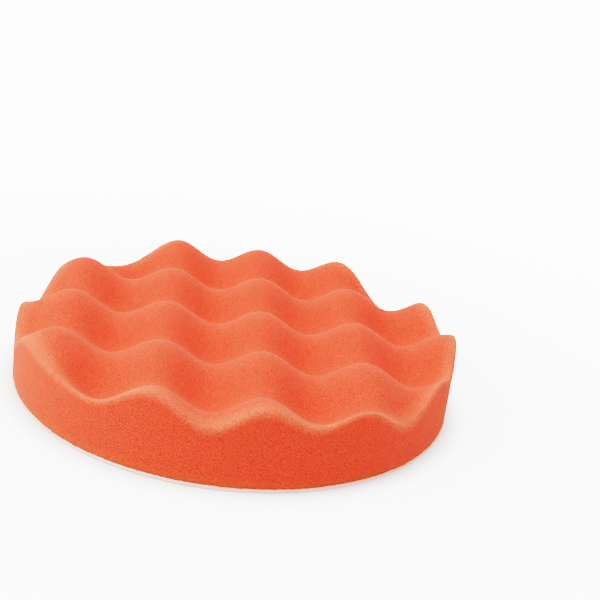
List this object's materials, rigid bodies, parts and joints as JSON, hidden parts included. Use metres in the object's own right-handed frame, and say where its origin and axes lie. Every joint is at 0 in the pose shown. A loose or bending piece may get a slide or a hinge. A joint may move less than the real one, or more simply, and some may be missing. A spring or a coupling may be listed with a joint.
{
  "type": "polishing pad",
  "caption": "Round open-cell foam polishing pad with a waffled egg-crate face, die-cut side wall and a thin hook-and-loop back that lies flat.",
  "frame": {"origin": "centre of the loop face, which is the surface the pad lies on", "axes": "+Z out of the waffled face, the way the pad meets the paint; +X across the first set of waffle waves, and the second set runs 2.8 degrees off square to it, so nearly across +Y"},
  "size_m": [0.18, 0.18, 0.0329],
  "materials": {
    "foam": "open-cell foam, matt",
    "film": "milky hot-melt film",
    "cloth": "knitted nylon",
    "pile": "brushed loops"
  },
  "bodies": {
    "root": {"waffle_foam": "foam", "bond_film": "film", "loop_cloth": "cloth", "loop_pile": "pile"}
  },
  "joints": []
}
